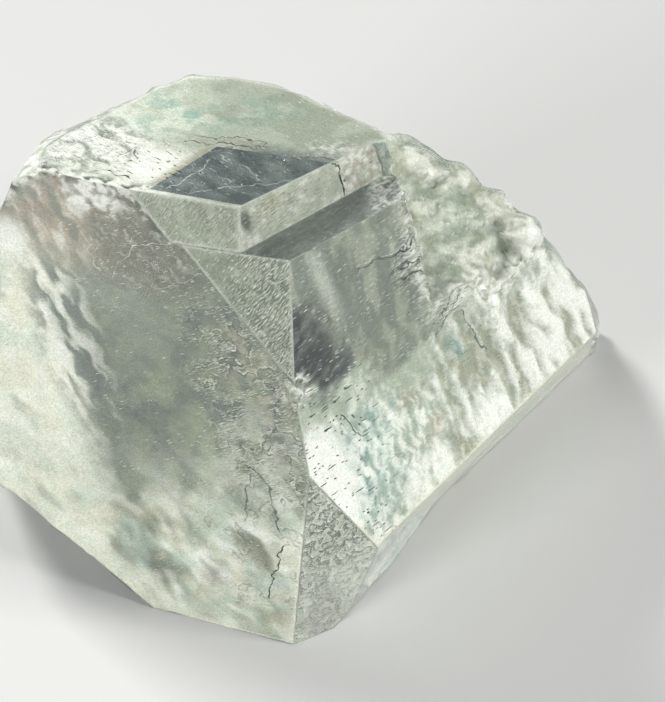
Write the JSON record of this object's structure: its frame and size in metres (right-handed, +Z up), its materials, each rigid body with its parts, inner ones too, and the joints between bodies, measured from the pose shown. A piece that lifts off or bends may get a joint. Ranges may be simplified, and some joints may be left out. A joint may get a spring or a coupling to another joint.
{
  "type": "aquamarine crystal",
  "caption": "Rough aquamarine crystal: a clear pale blue-green beryl prism with stepped flat terraces on top, a broken shoulder and a flat base to rest on.",
  "frame": {"origin": "middle of the box around the crystal, at the surface that it rests on", "axes": "+Z up, +X along the longest side, -Y towards the broad prism walls that face the viewer"},
  "size_m": [0.0394, 0.025, 0.0324],
  "materials": {
    "aquamarine": "natural crystal faces, glassy to satin with etch marks; broken surfaces frosted"
  },
  "bodies": {
    "root": {"aquamarine_crystal": "aquamarine"}
  },
  "joints": []
}
